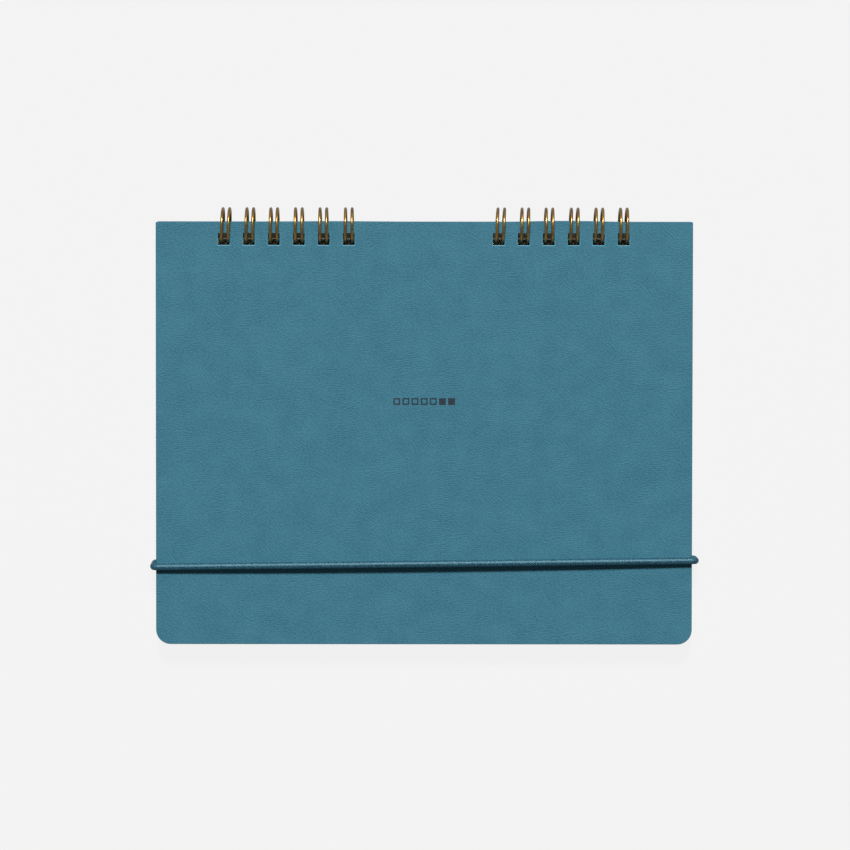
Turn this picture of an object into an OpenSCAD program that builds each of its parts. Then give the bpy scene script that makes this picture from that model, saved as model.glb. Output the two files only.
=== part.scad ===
// Desk calendar, closed: two supple covers and a stack of pages on two short
// runs of twin-loop wire, held shut by a round elastic band.
// X runs along the binding, Y points from the free edge to the binding, Z is up.
// The origin is on the table, under the middle of the whole calendar.

/* [Covers] */
// Width of both covers, along the binding
cover_w = 182; // [150:1:240]
// Depth of the front cover, from binding edge to free edge
cover_h = 143; // [120:1:200]
// Thickness of each cover
cover_t = 1; // [0.8:0.05:1.1]
// Radius of the two corners at the free edge
free_corner_r = 5; // [1:0.5:12]
// Radius of the two corners at the binding edge
binding_corner_r = 0.8; // [0.3:0.1:3]
// How far the front cover reaches past the wire's axis
front_reach = 1.4; // [0.8:0.1:1.5]
// How far the back cover reaches past the wire's axis
back_reach = 1.6; // [0.8:0.1:2]

/* [Binding holes] */
// Side of each square hole
hole_w = 3.9; // [3.6:0.1:4.4]
// Strip of cover between the binding edge and the holes
hole_strip = 4.2; // [4:0.1:4.4]

/* [Pages] */
// How far the covers stand out past the pages, left and right
page_side_margin = 1; // [0.5:0.1:3]
// How far the covers stand out past the pages at the free edge
page_free_margin = 1; // [0.5:0.1:3]
// Radius of the pages' two corners at the free edge
page_corner_r = 4; // [1:0.5:10]
// Distance from the wire's axis to the pages' binding edge
page_set_back = 2.3; // [2.2:0.1:2.6]
// Strip of page between the binding edge and the holes
page_strip = 2.5; // [2.2:0.1:2.7]
// How far the lowest sheet slides towards the binding
page_lean = 0.7; // [0.4:0.1:0.8]
// Length over which the stack swells up from the binding to the front cover
page_swell = 22; // [10:1:40]

/* [Wire] */
// Mean radius of a wire loop
loop_r = 6; // [5.9:0.05:7]
// Diameter of the wire
wire_d = 1; // [0.8:0.05:1.1]
// Distance from one twin loop to the next
loop_pitch = 8.467; // [7.5:0.1:9.5]
// Twin loops in each run of wire
loops_each = 6; // [3:1:8]
// Loop places left free between the two runs
free_places = 5; // [1:1:7]
// Distance between the two legs of a twin loop
leg_gap = 2.1; // [1.6:0.1:2.3]
// Radius of the bend from a leg into the link between loops
foot_r = 0.75; // [0.6:0.05:0.9]
// Length of the cut link at each end of a run
stub_l = 1.2; // [0.5:0.1:2]
// Height of the front cover's underside above the wire's axis
front_rise = 1.8; // [1.7:0.05:1.9]

/* [Elastic band] */
// Diameter of the round elastic
cord_d = 2.2; // [1.8:0.1:2.3]
// Distance from the free edge to the front run, at the left side
front_left = 26.2; // [15:0.1:60]
// Distance from the free edge to the front run, at the right side
front_right = 28.3; // [15:0.1:60]
// Distance from the free edge to the back run, at the left side
back_left = 27.7; // [15:0.1:60]
// Distance from the free edge to the back run, at the right side
back_right = 28.4; // [15:0.1:60]
// How far the front run dips towards the free edge halfway
band_dip = 0.25; // [0:0.05:1]
// How far the front run lifts off the cover halfway
band_lift = 0.8; // [0:0.05:1]
// Radius of the band's turns round the cover's edges
band_turn_r = 1.4; // [1.3:0.05:1.5]
// Length of the metal clamp that joins the band's ends
clamp_l = 9; // [6:0.5:14]
// Width of the flattened clamp
clamp_w = 3.6; // [3.2:0.1:5]

/* [Mark on the cover] */
// Side of each of the seven pressed squares
mark_side = 2.3; // [1.5:0.1:3]
// Distance from one square to the next
mark_pitch = 3.1; // [3.05:0.05:4]
// Width of an outlined square's line
mark_line = 0.45; // [0.3:0.05:0.7]
// Depth of the pressed squares
mark_depth = 0.15; // [0.05:0.05:0.3]
// Distance from the wire's axis to the middle of the row
mark_from_axis = 59.4; // [30:0.5:100]

/* [Hidden] */
$fn = 48;

// Clearances between neighbours
seat_gap = 0.05;
cord_gap = 0.15;
tip_gap = 0.25;
bore_gap = 0.02;
// A bend is a hair thicker than the leg and link that run this far into it
bend_swell = 0.01;
bend_lap = 0.08;

wire_r = wire_d / 2;
bend_wire_r = wire_r + bend_swell;
cord_r = cord_d / 2;
loop_out_r = loop_r + wire_r;
tip_r = leg_gap / 2;

// The loops' lowest points and the band's back run both stand on the table
axis_z = loop_out_r;
far_reach = cover_h - front_reach;
axis_y = (far_reach - loop_out_r) / 2;

// Heights above the wire's axis
back_under = cord_d + seat_gap - axis_z;
back_top = back_under + cover_t;
front_top = front_rise + cover_t;
page_low = back_top + seat_gap;
page_high = front_rise - seat_gap;
link_z = front_rise - seat_gap - bend_wire_r;
page_at_wire = link_z - bend_wire_r - seat_gap;
tip_z = link_z - wire_d - tip_gap;

// Angles round the loop, from the +Y side upwards, where its arc starts and ends
foot_angle = 180 - asin(link_z / norm([loop_r, foot_r])) - atan2(foot_r, loop_r);
tip_angle = 180 - asin(tip_z / norm([loop_r, tip_r])) + atan2(tip_r, loop_r);
leg_start = tip_angle - 360;
lap_angle = bend_lap / loop_r * 180 / PI;

// Distance of the n-th loop of a run from the calendar's middle
function loop_x(n) = (n + (free_places + 1) / 2) * loop_pitch;
loop_numbers = [0 : loops_each - 1];

// The stack leans: each lower sheet lies a little nearer to the binding
function lean_at(z) = page_lean * (page_high - z) / (page_high - page_low);

// Band route, in a plane across the binding's direction
band_x = cover_w / 2 + cord_gap + cord_r;
band_low = cord_r;
band_high = axis_z + front_top + cord_gap + cord_r;
band_run = band_x - band_turn_r;
squeezed_r = 0.3 * cord_d;
front_steps = 30;
back_steps = 12;
turn_steps = 3;
side_steps = 3;
cord_sides = 8;

// Turns local X, Y, Z into Y, Z, X and moves the origin to the wire's axis
module on_axis() {
    translate([0, axis_y, axis_z]) rotate([90, 0, 90]) children();
}

// Rectangle from near to far along Y, with its own radius at each end
module sheet_outline(near, far, near_r, far_r) {
    half = cover_w / 2;
    translate([-half, -far + far_r]) square([cover_w, near + far - near_r - far_r]);
    translate([-half + near_r, near - near_r]) square([cover_w - 2 * near_r, near_r]);
    translate([-half + far_r, -far]) square([cover_w - 2 * far_r, far_r]);
    for (side = [-1, 1]) {
        translate([side * (half - near_r), near - near_r]) circle(r = near_r);
        translate([side * (half - far_r), far_r - far]) circle(r = far_r);
    }
}

// One square hole at each loop, its near edge hole_strip behind the sheet's edge
module square_holes(near) {
    for (side = [-1, 1], n = loop_numbers)
        translate([side * loop_x(n) - hole_w / 2, near - hole_strip - hole_w])
            square(hole_w);
}

// A punched cover whose underside is at height z above the table
module cover_plate(near, z) {
    translate([0, axis_y, z]) linear_extrude(cover_t) difference() {
        sheet_outline(near, far_reach, binding_corner_r, free_corner_r);
        square_holes(near);
    }
}

// A week in seven squares: five outlined, two solid
module week_row() {
    for (day = [0 : 6]) translate([(day - 3) * mark_pitch, -mark_from_axis]) difference() {
        square(mark_side, center = true);
        if (day < 5) square(mark_side - 2 * mark_line, center = true);
    }
}

module front_cover() {
    color("#44798a") difference() {
        cover_plate(front_reach, axis_z + front_rise);
        translate([0, axis_y, axis_z + front_top - mark_depth])
            linear_extrude(2 * mark_depth) week_row();
    }
}

module back_cover() {
    color("#3f7182") cover_plate(back_reach, axis_z + back_under);
}

// Side of the stack: thin under the wire's links, then swelling to the cover
function swell_point(s) = let (hole_end = page_set_back + page_strip + hole_w)
    [-hole_end - page_swell * s,
     page_at_wire + (page_high - page_at_wire) * (1 - cos(180 * s)) / 2];
page_far = far_reach - page_free_margin;
page_half = cover_w / 2 - page_side_margin;
page_side = concat(
    [[-page_set_back + lean_at(page_low), page_low],
     [-page_set_back + lean_at(page_at_wire), page_at_wire]],
    [for (i = [0 : 8]) swell_point(i / 8)],
    [[-page_far, page_high], [-page_far + lean_at(page_low), page_low]]);

// A hole through the stack follows the lean of the sheets
module page_hole() {
    near = -page_set_back - page_strip;
    over = page_high + 1;
    under = page_low - 1;
    linear_extrude(hole_w, center = true) polygon([
        [near + lean_at(over), over], [near + lean_at(under), under],
        [near - hole_w + lean_at(under), under], [near - hole_w + lean_at(over), over]]);
}

// What a round corner takes off the free edge of the stack, on one side
module page_corner(side) {
    over = page_high + 1;
    under = page_low - 1;
    translate([side * (page_half - page_corner_r), axis_y - page_far + page_corner_r,
               axis_z + under])
        linear_extrude(over - under) difference() {
            translate([side > 0 ? 0 : -page_corner_r - 1, -page_corner_r - 1])
                square(page_corner_r + 1);
            circle(r = page_corner_r);
        }
}

module page_block() {
    color("#efe9da") difference() {
        on_axis() difference() {
            linear_extrude(2 * page_half, center = true) polygon(page_side);
            for (side = [-1, 1], n = loop_numbers)
                translate([0, 0, side * loop_x(n)]) page_hole();
        }
        for (side = [-1, 1]) page_corner(side);
    }
}

// Piece of a bent wire: part of a ring of mean radius r, from angle start on
module bent_wire(r, start, sweep, thick_r = wire_r) {
    rotate([0, 0, start]) rotate_extrude(angle = sweep, $fn = 96)
        translate([r, 0]) circle(r = thick_r, $fn = 24);
}

// Puts its children at an angle of the loop, in the plane that touches it there
module on_loop(angle) {
    rotate([0, 0, angle]) translate([loop_r, 0, 0]) rotate([0, -90, 0]) children();
}

// Two legs joined by a rounded tip, each bent outwards at its foot
module twin_loop() {
    for (side = [-1, 1]) {
        translate([0, 0, side * tip_r]) {
            bent_wire(loop_r, leg_start, foot_angle + lap_angle - leg_start);
            on_loop(foot_angle) translate([side * foot_r, 0, 0])
                bent_wire(foot_r, side > 0 ? 90 : 0, 90, bend_wire_r);
        }
    }
    on_loop(tip_angle) bent_wire(tip_r, 180, 180);
}

// Straight wire along the binding, at the feet of the loops
module link(from, to) {
    on_loop(foot_angle) translate([from, foot_r, 0]) rotate([0, 90, 0])
        cylinder(r = wire_r, h = to - from, $fn = 24);
}

// One run of wire: its loops, the links between them and a cut link at each end
module wire_run(side) {
    foot_x = tip_r + foot_r;
    link_start = foot_x - bend_lap;
    first = min(side * loop_x(0), side * loop_x(loops_each - 1));
    on_axis() {
        for (n = loop_numbers) translate([0, 0, first + n * loop_pitch]) {
            twin_loop();
            if (n < loops_each - 1) link(link_start, loop_pitch - link_start);
        }
        translate([0, 0, first]) link(-foot_x - stub_l, -link_start);
        translate([0, 0, first + (loops_each - 1) * loop_pitch])
            link(link_start, foot_x + stub_l);
    }
}

module wire_left() {
    color("#8a6a24") wire_run(-1);
}

module wire_right() {
    color("#8a6a24") wire_run(1);
}

function mix(a, b, t) = a + (b - a) * t;
function from_free_edge(d) = axis_y - far_reach + d;

// Place of the band along Y, from its x and height
function band_y(x, z) = let (
    t = (x / band_x + 1) / 2,
    up = min(1, (z - band_low) / (band_high - band_low)),
    front = mix(front_left, front_right, t) - band_dip * (1 - pow(x / band_x, 2)),
    back = mix(back_left, back_right, t))
    from_free_edge(mix(back, front, up));

// One station of the band: its centre, its outward direction in X and Z, its radius
function station(x, z, out, r = cord_r) = [[x, band_y(x, z), z], out, r];

function front_station(i) = let (s = 2 * i / front_steps - 1)
    station(s * band_run, band_high + band_lift * (1 - s * s), 90);

// The turn at the side and height given by the signs, from angle start, clockwise
function turn(side, up, start) = [for (i = [1 : turn_steps - 1])
    let (a = start - 90 * i / turn_steps,
         mid_z = up > 0 ? band_high - band_turn_r : band_low + band_turn_r)
    station(side * band_run + band_turn_r * cos(a), mid_z + band_turn_r * sin(a), a)];

function side_run(side) = [for (i = [0 : side_steps])
    let (s = side > 0 ? 1 - i / side_steps : i / side_steps)
    station(side * band_x, mix(band_low + band_turn_r, band_high - band_turn_r, s),
        side > 0 ? 0 : 180)];

// The back run is squeezed thin inside the clamp
clamp_end = clamp_l / 2;
function back_half(from, to) = [for (i = [0 : back_steps])
    station(mix(from, to, i / back_steps), band_low, -90)];
squeezed_part = [for (x = [clamp_end, 0, -clamp_end]) station(x, band_low, -90, squeezed_r)];
clamp_lip = 0.5;

band_stations = concat(
    [for (i = [0 : front_steps]) front_station(i)],
    turn(1, 1, 90), side_run(1), turn(1, -1, 0),
    back_half(band_run, clamp_end + clamp_lip), squeezed_part,
    back_half(-clamp_end - clamp_lip, -band_run),
    turn(-1, -1, -90), side_run(-1), turn(-1, 1, 180));

function band_ring(s) = [for (k = [0 : cord_sides - 1])
    let (a = 360 * k / cord_sides, out = s[2] * cos(a))
    s[0] + [out * cos(s[1]), s[2] * sin(a), out * sin(s[1])]];

module elastic_band() {
    count = len(band_stations);
    color("#1f4a5c") polyhedron(
        points = [for (s = band_stations) each band_ring(s)],
        faces = [for (i = [0 : count - 1], k = [0 : cord_sides - 1])
            let (j = (i + 1) % count, m = (k + 1) % cord_sides)
            [i * cord_sides + k, j * cord_sides + k, j * cord_sides + m, i * cord_sides + m]]);
}

// Flattened metal sleeve round the squeezed ends of the band, as thick as the cord
module band_clamp() {
    color("#8a6a24") translate([0, band_y(0, band_low), band_low]) rotate([90, 0, 90])
        linear_extrude(clamp_l, center = true) difference() {
            union() {
                square([clamp_w - cord_d, cord_d], center = true);
                for (side = [-1, 1])
                    translate([side * (clamp_w - cord_d) / 2, 0]) circle(r = cord_r);
            }
            circle(r = squeezed_r + bore_gap);
        }
}

front_cover();
back_cover();
page_block();
wire_left();
wire_right();
elastic_band();
band_clamp();
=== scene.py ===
"""A desk calendar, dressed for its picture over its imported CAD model.

Two supple covers and a stack of leaves turn on two runs of twin-loop wire, and a
braided elastic holds them shut. Lengths are in metres in the CAD's frame: X runs
along the binding, Y points from the free edge to the binding, and Z is up.
"""
import logging
import math
from dataclasses import dataclass
from enum import Enum, IntEnum
from typing import Any, Iterable, Sequence

import bmesh
import bpy
import numpy as np
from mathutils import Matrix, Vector


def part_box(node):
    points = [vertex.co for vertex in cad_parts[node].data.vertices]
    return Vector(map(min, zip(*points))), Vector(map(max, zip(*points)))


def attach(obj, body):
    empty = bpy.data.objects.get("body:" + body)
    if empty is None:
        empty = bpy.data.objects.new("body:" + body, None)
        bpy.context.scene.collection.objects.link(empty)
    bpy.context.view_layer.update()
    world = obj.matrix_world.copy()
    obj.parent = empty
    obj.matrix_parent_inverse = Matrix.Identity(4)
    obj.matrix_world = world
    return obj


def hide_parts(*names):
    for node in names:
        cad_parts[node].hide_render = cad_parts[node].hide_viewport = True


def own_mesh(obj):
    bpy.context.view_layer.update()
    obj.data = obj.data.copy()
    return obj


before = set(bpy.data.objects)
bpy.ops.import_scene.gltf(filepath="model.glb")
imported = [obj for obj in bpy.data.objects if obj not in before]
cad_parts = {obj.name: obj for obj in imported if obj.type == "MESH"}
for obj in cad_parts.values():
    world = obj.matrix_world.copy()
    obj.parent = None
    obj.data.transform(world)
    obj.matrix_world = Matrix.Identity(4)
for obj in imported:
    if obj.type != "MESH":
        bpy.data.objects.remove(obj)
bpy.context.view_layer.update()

MM = 0.001
# Most values of a cloudy texture lie between these two.
CLOUD_RANGE = (0.3, 0.7)
SQUARE_CORNER_STEPS = 3
log = logging.getLogger("desk calendar")

Point = tuple[float, float]
Outline = list[Point]
Ring = Sequence[bmesh.types.BMVert]
Value = Any
Node = bpy.types.Node
Object = bpy.types.Object
Socket = bpy.types.NodeSocket


def linear(written: str) -> tuple[float, float, float, float]:
    """Turns a colour as it is written for the screen into the renderer's values.

    Args:
        written: The colour as "#rrggbb".

    Returns:
        Red, green, blue and alpha, in linear light.
    """
    channels = [int(written[i:i + 2], 16) / 255 for i in (1, 3, 5)]
    lit = [c / 12.92 if c <= 0.04045 else ((c + 0.055) / 1.055) ** 2.4 for c in channels]
    return (lit[0], lit[1], lit[2], 1.0)


class Graph:
    """A node tree with short calls to add, set and join its nodes."""

    def __init__(self, tree: bpy.types.NodeTree) -> None:
        """Keeps the tree that the calls work on."""
        self.tree = tree

    def node(self, kind: str, **settings: Value) -> Node:
        """Adds a node and sets its plain properties.

        Args:
            kind: Blender's name for the type of node.
            **settings: Properties of the node and their values.

        Returns:
            The new node.
        """
        made = self.tree.nodes.new(kind)
        for name, value in settings.items():
            setattr(made, name, value)
        return made

    def feed(self, socket: Socket, value: Value) -> None:
        """Joins another node's output to a socket, or writes a plain value there.

        Args:
            socket: The input that is fed.
            value: Another node's output, or a plain value.
        """
        if isinstance(value, Socket):
            self.tree.links.new(value, socket)
        else:
            socket.default_value = value

    def fill(self, node: Node, inputs: dict[Value, Value]) -> None:
        """Joins or sets some of a node's inputs, each by its name or number."""
        for name, value in inputs.items():
            self.feed(node.inputs[name], value)

    def fed(self, kind: str, inputs: dict[Value, Value], **settings: Value) -> Node:
        """Adds a node with some of its inputs joined or set.

        Args:
            kind: Blender's name for the type of node.
            inputs: Each input's name or number, with its value or another node's output.
            **settings: Properties of the node and their values.

        Returns:
            The new node.
        """
        made = self.node(kind, **settings)
        self.fill(made, inputs)
        return made

    def math(self, operation: str, *values: Value) -> Socket:
        """Adds one step of arithmetic and returns its result."""
        return self.fed("ShaderNodeMath", dict(enumerate(values)), operation=operation).outputs[0]

    def vector(self, operation: str, *values: Value) -> Socket:
        """Adds one step of arithmetic on vectors and returns its result."""
        inputs = dict(enumerate(values))
        return self.fed("ShaderNodeVectorMath", inputs, operation=operation).outputs[0]

    def scaled(self, vector: Value, factor: Value) -> Socket:
        """Multiplies a vector by a number and returns the result."""
        inputs = {0: vector, "Scale": factor}
        return self.fed("ShaderNodeVectorMath", inputs, operation="SCALE").outputs[0]

    def parts(self, vector: Value) -> list[Socket]:
        """Splits a vector into its X, Y and Z."""
        return list(self.fed("ShaderNodeSeparateXYZ", {0: vector}).outputs)

    def mapped(self, place: Value, size: tuple[float, ...], turn: float = 0.0) -> Socket:
        """Turns a place about Z and divides it by the size of a pattern's cell."""
        inputs = {"Vector": place, "Rotation": (0.0, 0.0, turn), "Scale": size}
        return self.fed("ShaderNodeMapping", inputs, vector_type="TEXTURE").outputs[0]

    def crossing(self, one: Value, other: Value) -> Socket:
        """Is 1 in the middle of each crossing of a braid's strands, and 0 in its gaps.

        Args:
            one: Strands counted one way round the cord.
            other: Strands counted the other way.

        Returns:
            Output with the pattern.
        """
        arches = [self.math("SINE", self.math("MULTIPLY", self.math("FRACT", way), math.pi))
                  for way in (one, other)]
        return self.math("MULTIPLY", *arches)

    def blend(self, share: Value, first: Value, second: Value) -> Socket:
        """Mixes two colours by a share of the second and returns the result."""
        # Inputs 6 and 7 and output 2 are the colours of the mix node.
        inputs = {0: share, 6: first, 7: second}
        return self.fed("ShaderNodeMix", inputs, data_type="RGBA").outputs[2]

    def spread(self, value: Value, low: float, high: float,
               to_low: float = 0.0, to_high: float = 1.0) -> Socket:
        """Stretches a range of values to another range, and clamps it there."""
        inputs = {0: value, 1: low, 2: high, 3: to_low, 4: to_high}
        return self.fed("ShaderNodeMapRange", inputs).outputs[0]

    def noise(self, place: Value, scale: float = 1.0, detail: float = 0.0,
              roughness: float = 0.5) -> Node:
        """Adds a cloudy texture that has about scale clouds to the metre."""
        inputs = {"Vector": place, "Scale": scale, "Detail": detail, "Roughness": roughness}
        return self.fed("ShaderNodeTexNoise", inputs)


class ShadedFinish:
    """A finish whose colour, gloss and relief come from its own nodes."""

    name: str

    def paint(self, graph: Graph, shader: Node) -> None:
        """Sets the shader and joins the nodes that feed it."""
        raise NotImplementedError

    def material(self) -> bpy.types.Material:
        """Makes the finish as a material, once.

        Returns:
            The material.
        """
        found = bpy.data.materials.get(self.name)
        if found:
            return found
        made = bpy.data.materials.new(self.name)
        made.use_nodes = True
        graph = Graph(made.node_tree)
        self.paint(graph, made.node_tree.nodes["Principled BSDF"])
        return made


def object_place(graph: Graph) -> Socket:
    """Adds the place on the object, in metres, that a pattern follows."""
    return graph.node("ShaderNodeTexCoord").outputs["Object"]


def seen_directly(graph: Graph) -> Socket:
    """Is 1 for what a picture, a gloss or a clear piece shows, and 0 for plain light.

    Args:
        graph: Node tree of a material or of the world.

    Returns:
        Output with that 1 or 0.
    """
    ray = graph.node("ShaderNodeLightPath").outputs
    mirrored = graph.math("MAXIMUM", ray["Is Glossy Ray"], ray["Is Transmission Ray"])
    return graph.math("MAXIMUM", ray["Is Camera Ray"], mirrored)


def relief(graph: Graph, shader: Node, height: Value, depth: float) -> None:
    """Lets a height pattern from 0 to 1 roughen the shader's surface.

    Args:
        graph: The finish's node tree.
        shader: The shader whose surface it is.
        height: Output with the pattern.
        depth: Height of the pattern's peaks, in metres.
    """
    bump = graph.fed("ShaderNodeBump", {"Strength": 1.0, "Distance": depth, "Height": height})
    graph.feed(shader.inputs["Normal"], bump.outputs[0])


@dataclass(frozen=True)
class Leatherette(ShadedFinish):
    """The grained outer side of a cover sheet. Its scales are in clouds to the metre."""

    name: str = "cover leatherette"
    ridge: str = "#498194"
    crease: str = "#336a7d"
    crease_gap: float = 0.72 * MM
    crease_turns: float = 1.7
    slants: tuple[float, float] = (math.radians(-38), math.radians(8))
    bends: tuple[tuple[float, float], ...] = ((110.0, 1.6 * MM), (450.0, 0.42 * MM))
    stray_scale: float = 420.0
    patch_scale: float = 90.0
    patch_edges: tuple[float, float] = (0.42, 0.58)
    pore_scale: float = 1500.0
    pore_edges: tuple[float, float] = (0.25, 0.75)
    pore_share: float = 0.5
    blotch_scale: float = 140.0
    blotch_share: float = 0.3
    contrast: tuple[float, float] = (0.2, 0.8)
    relief_depth: float = 0.057 * MM
    roughness: float = 0.58
    gloss_swing: float = 0.06
    specular: float = 0.14

    def bent(self, graph: Graph, place: Value) -> Socket:
        """Shifts a place sideways by cloudy patterns, so that creases bend.

        Args:
            graph: The finish's node tree.
            place: The place on the cover.

        Returns:
            The shifted place.
        """
        for scale, reach in self.bends:
            cloud = graph.noise(place, scale, detail=1.0).outputs["Color"]
            shift = graph.vector("MULTIPLY", cloud, (2 * reach, 2 * reach, 0.0))
            place = graph.vector("ADD", place, shift)
        return place

    def creases(self, graph: Graph, place: Value, slant: float) -> Socket:
        """Makes one family of fine wavy creases that run at a slant to the binding.

        Args:
            graph: The finish's node tree.
            place: The place on the cover, already bent.
            slant: Angle from the binding to the creases, in radians.

        Returns:
            Output with the pattern, from 0 to 1.
        """
        turned = graph.mapped(place, (self.crease_gap,) * 3, slant)
        stray = graph.noise(place, self.stray_scale, detail=1.0, roughness=0.6).outputs[0]
        turns = graph.math("MULTIPLY_ADD", stray, self.crease_turns, graph.parts(turned)[1])
        wave = graph.math("SINE", graph.math("MULTIPLY", turns, 2 * math.pi))
        return graph.math("MULTIPLY_ADD", wave, 0.5, 0.5)

    def paint(self, graph: Graph, shader: Node) -> None:
        """Crosses two families of creases in patches, over soft large blotches.

        Args:
            graph: The finish's node tree.
            shader: Its shader.
        """
        place = object_place(graph)
        bent = self.bent(graph, place)
        first, second = [self.creases(graph, bent, slant) for slant in self.slants]
        patch = graph.spread(graph.noise(place, self.patch_scale).outputs[0],
                             *self.patch_edges)
        rest = graph.math("MULTIPLY", first, graph.math("SUBTRACT", 1.0, patch))
        lines = graph.math("MULTIPLY_ADD", second, patch, rest)
        pores = graph.spread(graph.noise(place, self.pore_scale).outputs[0], *self.pore_edges)
        height = graph.math("MULTIPLY_ADD", pores, self.pore_share,
                            graph.math("MULTIPLY", lines, 1 - self.pore_share))
        blotch = graph.noise(place, self.blotch_scale, detail=2.0, roughness=0.6).outputs[0]
        tone = graph.math("ADD", graph.spread(height, *self.contrast, 0.0, 1 - self.blotch_share),
                          graph.spread(blotch, *CLOUD_RANGE, 0.0, self.blotch_share))
        graph.fill(shader, {
            "Base Color": graph.blend(tone, linear(self.crease), linear(self.ridge)),
            "Roughness": graph.spread(height, *self.contrast, self.roughness + self.gloss_swing,
                                      self.roughness - self.gloss_swing),
            "Specular IOR Level": self.specular})
        relief(graph, shader, height, self.relief_depth)


@dataclass(frozen=True)
class Mottled(ShadedFinish):
    """A finish whose tone and relief follow one fine, cloudy pattern."""

    name: str
    dark: str
    pale: str
    grain: tuple[float, float, float]
    depth: float
    roughness: float = 0.85
    specular: float = 0.2
    fibrous: float = 0.5
    contrast: tuple[float, float] = (0.0, 1.0)

    def paint(self, graph: Graph, shader: Node) -> None:
        """Lays the pattern along the sheet's layers, and colours and raises it.

        Args:
            graph: The finish's node tree.
            shader: Its shader.
        """
        place = graph.mapped(object_place(graph), self.grain)
        fibres = graph.noise(place, detail=2.0, roughness=self.fibrous).outputs[0]
        share = graph.spread(fibres, *self.contrast)
        graph.fill(shader, {"Base Color": graph.blend(share, linear(self.dark), linear(self.pale)),
                            "Roughness": self.roughness, "Specular IOR Level": self.specular})
        relief(graph, shader, fibres, self.depth)


PRESSED_GRAIN = (MM / 1.5,) * 3
CUT_EDGE = Mottled("cover cut edge", "#1f3d4c", "#2f5566", (0.5 * MM, 0.5 * MM, 0.12 * MM),
                   0.03 * MM, roughness=0.75, specular=0.25, contrast=(0.35, 0.65))
# The lighter rim round each hole's top is a painted highlight, where light catches the rounded
# punched edge; the rounding itself is real.
RIM_PAINTED_HIGHLIGHT = Mottled("hole rim painted highlight", "#47879f", "#5596ac", PRESSED_GRAIN, 0.01 * MM,
                      roughness=0.5, specular=0.3)
LINING = Mottled("cover lining", "#396676", "#3f6f80", (MM / 3.2,) * 3, 0.02 * MM)
PRESSED_MARK = Mottled("pressed mark", "#0f1e2c", "#152838", PRESSED_GRAIN, 0.015 * MM,
                       roughness=0.5, specular=0.5)
LEAF_PAPER = Mottled("leaf paper", "#e4d9c4", "#efe6d4", (1.5 * MM, 1.5 * MM, 0.09 * MM),
                     0.002 * MM, fibrous=0.6, contrast=CLOUD_RANGE)


@dataclass(frozen=True)
class MonthLeaf(ShadedFinish):
    """The first leaf: warm paper with a plain ruled grid of five weeks."""

    name: str = "month leaf"
    paper: str = "#d9c8ab"
    shade: str = "#cfbd9d"
    ruling: str = "#8a7a63"
    weekend: str = "#c9b48f"
    weekend_share: float = 0.7
    day_wide: float = 22 * MM
    day_deep: float = 18 * MM
    days: int = 7
    weeks: int = 5
    weekend_days: int = 2
    top: float = 40 * MM
    line: float = 0.35 * MM
    fibre_scale: float = 1400.0
    relief_depth: float = 0.01 * MM
    roughness: float = 0.85
    specular: float = 0.2

    def inside(self, graph: Graph, place: Value, low: float, high: float) -> Socket:
        """Is 1 where a coordinate lies between two values, and 0 elsewhere."""
        above = graph.math("GREATER_THAN", place, low)
        return graph.math("MULTIPLY", above, graph.math("LESS_THAN", place, high))

    def rules(self, graph: Graph, place: Value, start: float, step: float) -> Socket:
        """Is 1 on evenly spaced lines across a coordinate, and 0 between them."""
        steps = graph.math("DIVIDE", graph.math("SUBTRACT", place, start - self.line / 2), step)
        return graph.math("LESS_THAN", graph.math("FRACT", steps), self.line / step)

    def paint(self, graph: Graph, shader: Node) -> None:
        """Rules the grid on mottled paper and tints its last two columns.

        Args:
            graph: The finish's node tree.
            shader: Its shader.
        """
        place = object_place(graph)
        x, y = graph.parts(place)[:2]
        left = -self.days * self.day_wide / 2
        low = self.top - self.weeks * self.day_deep
        over = self.line / 2
        field = graph.math("MULTIPLY", self.inside(graph, x, left - over, -left + over),
                           self.inside(graph, y, low - over, self.top + over))
        ruled = graph.math("MAXIMUM", self.rules(graph, x, left, self.day_wide),
                           self.rules(graph, y, low, self.day_deep))
        fibres = graph.noise(place, self.fibre_scale, detail=2.0, roughness=0.6).outputs[0]
        paper = graph.blend(fibres, linear(self.shade), linear(self.paper))
        last = self.inside(graph, x, -left - self.weekend_days * self.day_wide, -left)
        late = graph.math("MULTIPLY", field, last)
        tint = graph.math("MULTIPLY", late, self.weekend_share)
        tinted = graph.blend(tint, paper, linear(self.weekend))
        inked = graph.blend(graph.math("MULTIPLY", ruled, field), tinted, linear(self.ruling))
        graph.fill(shader, {"Base Color": inked, "Roughness": self.roughness,
                            "Specular IOR Level": self.specular})
        relief(graph, shader, fibres, self.relief_depth)


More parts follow.
